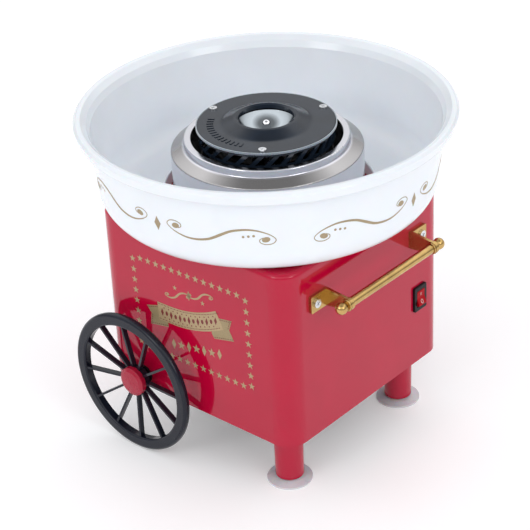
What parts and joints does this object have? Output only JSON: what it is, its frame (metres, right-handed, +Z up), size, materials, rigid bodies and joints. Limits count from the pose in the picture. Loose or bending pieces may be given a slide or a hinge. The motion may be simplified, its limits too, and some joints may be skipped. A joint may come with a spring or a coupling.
{
  "type": "cotton candy machine",
  "caption": "Tabletop cotton candy machine: cart-shaped casing with spoked wheels and push bar, heated spinning sugar head in a metal guard, and a lift-off catch bowl.",
  "frame": {"origin": "on the supporting surface, on the axis of the spinning head and the bowl", "axes": "+Z up along the head's axis; -Y is the front, with the push bar and the switch; the wheels are on the -X and +X sides"},
  "size_m": [0.2797, 0.2797, 0.2622],
  "materials": {
    "red_casing": "high gloss moulded",
    "white_bowl": "smooth gloss, slightly translucent",
    "black_wheel": "satin moulded",
    "red_cap": "satin gloss",
    "brass": "satin",
    "guard_metal": "spun satin",
    "polished_metal": "polished",
    "black_cover": "satin heat-proof moulding",
    "black_plastic": "gloss",
    "rocker_red": "clear gloss",
    "clear_rubber": "soft translucent",
    "black_rubber": "matt",
    "steel": "satin",
    "screw_steel": "bright zinc",
    "ceramic": "unglazed ceramic",
    "magnet": "sintered",
    "copper": "bright"
  },
  "bodies": {
    "base": {"body_shell": "red_casing", "floor_plate": "black_plastic", "floor_screws": "screw_steel", "leg_left": "red_casing", "leg_right": "red_casing", "leg_screws": "screw_steel", "suction_foot_left": "clear_rubber", "suction_foot_right": "clear_rubber", "cord_grommet": "black_rubber", "terminal_block": "black_plastic", "handle_bracket_left": "brass", "handle_bracket_right": "brass", "bracket_screws": "screw_steel", "handle_bar": "brass", "handle_finial_left": "brass", "handle_finial_right": "brass", "switch_housing": "black_plastic", "switch_tabs": "brass", "wheel_axle": "steel", "axle_bush_left": "black_plastic", "axle_bush_right": "black_plastic", "axle_clip_left": "steel", "axle_clip_right": "steel", "heat_guard": "guard_metal", "guard_screws": "screw_steel", "motor_can": "steel", "motor_end_cap": "steel", "motor_bush_upper": "copper", "motor_bush_lower": "copper", "field_magnets": "magnet", "motor_plate": "steel", "plate_screws": "screw_steel", "rubber_mounts": "black_rubber", "motor_screws": "screw_steel", "motor_standoffs": "steel", "heater_element": "steel", "heat_reflector": "guard_metal", "ceramic_posts": "ceramic", "reflector_rods": "steel", "thermal_fuse": "steel"},
    "bowl": {"catch_bowl": "white_bowl"},
    "spinner": {"drive_shaft": "steel", "motor_armature": "steel", "commutator": "copper", "cooling_fan": "black_plastic", "head_hub": "steel", "sugar_dish": "polished_metal", "louvre_ring": "black_cover", "head_cover": "black_cover", "cover_screws": "screw_steel", "dome_nut": "polished_metal"},
    "left_wheel": {"wheel_left": "black_wheel", "hub_cap_left": "red_cap"},
    "right_wheel": {"wheel_right": "black_wheel", "hub_cap_right": "red_cap"},
    "rocker": {"switch_rocker": "rocker_red"}
  },
  "joints": [
    {"name": "bowl_lift", "type": "slide", "parent": "base", "child": "bowl", "axis": [0, 0, 1], "range_m": [0, 0.07]},
    {"name": "head_spin", "type": "hinge", "parent": "base", "child": "spinner", "pos_m": [0, 0, 0.2], "axis": [0, 0, 1], "continuous": true},
    {"name": "wheel_left_spin", "type": "hinge", "parent": "base", "child": "left_wheel", "pos_m": [-0.1059, 0.054, 0.0575], "axis": [1, 0, 0], "continuous": true},
    {"name": "wheel_right_spin", "type": "hinge", "parent": "base", "child": "right_wheel", "pos_m": [0.1059, 0.054, 0.0575], "axis": [1, 0, 0], "continuous": true},
    {"name": "switch_tilt", "type": "hinge", "parent": "base", "child": "rocker", "pos_m": [0.0613, -0.0914, 0.104], "axis": [1, 0, 0], "range_deg": [0, 20]}
  ]
}
